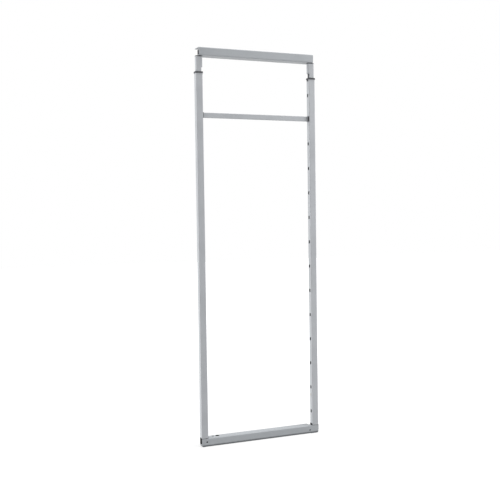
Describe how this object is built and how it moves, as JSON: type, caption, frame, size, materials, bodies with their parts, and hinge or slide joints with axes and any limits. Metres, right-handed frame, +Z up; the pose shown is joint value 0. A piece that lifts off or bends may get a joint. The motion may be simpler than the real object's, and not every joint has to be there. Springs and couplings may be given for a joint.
{
  "type": "pull out pantry frame",
  "caption": "Tall pull out pantry frame: slotted uprights on a bottom rail, with a height-adjustable top rail on sliding inner tubes and a cross bar.",
  "frame": {"origin": "on the underside of the bottom rail, midway between the two holes that fasten it to the lower runner", "axes": "+Z up, +X along the rails from the front (door) end to the rear end, +Y from the flat side of the frame towards its runner side"},
  "size_m": [0.497, 0.0465, 1.487],
  "materials": {
    "frame_paint": "satin",
    "casting": "as cast",
    "screw_steel": "zinc plated",
    "black_plastic": "matt"
  },
  "bodies": {
    "base_frame": {"bottom_rail": "frame_paint", "corner_screws": "screw_steel", "cross_bar": "frame_paint", "front_bar_socket": "black_plastic", "front_collar": "black_plastic", "front_corner_casting": "casting", "front_corner_plug": "black_plastic", "front_corner_shell": "frame_paint", "front_foot_plug": "black_plastic", "front_upright": "frame_paint", "lock_bosses": "frame_paint", "rail_top_screw": "screw_steel", "rear_bar_socket": "black_plastic", "rear_collar": "black_plastic", "rear_corner_casting": "casting", "rear_corner_plug": "black_plastic", "rear_corner_shell": "frame_paint", "rear_foot_plug": "black_plastic", "rear_upright": "frame_paint", "upright_screws": "screw_steel"},
    "height_extension": {"front_clamp_block": "black_plastic", "front_head_plug": "black_plastic", "front_inner_tube": "frame_paint", "front_tube_glide": "black_plastic", "head_screws": "screw_steel", "rear_clamp_block": "black_plastic", "rear_head_plug": "black_plastic", "rear_inner_tube": "frame_paint", "rear_tube_glide": "black_plastic", "top_rail": "frame_paint"},
    "front_lock": {"front_lock_screw": "screw_steel"},
    "rear_lock": {"rear_lock_screw": "screw_steel"}
  },
  "joints": [
    {"name": "height_slide", "type": "slide", "parent": "base_frame", "child": "height_extension", "axis": [0, 0, 1], "range_m": [-0.0165, 0.2]},
    {"name": "front_lock_turn", "type": "hinge", "parent": "base_frame", "child": "front_lock", "pos_m": [-0.2342, 0, 1.355], "axis": [0, -1, 0], "range_deg": [-360, 90]},
    {"name": "rear_lock_turn", "type": "hinge", "parent": "base_frame", "child": "rear_lock", "pos_m": [0.2342, 0, 1.355], "axis": [0, -1, 0], "range_deg": [-360, 90]}
  ]
}
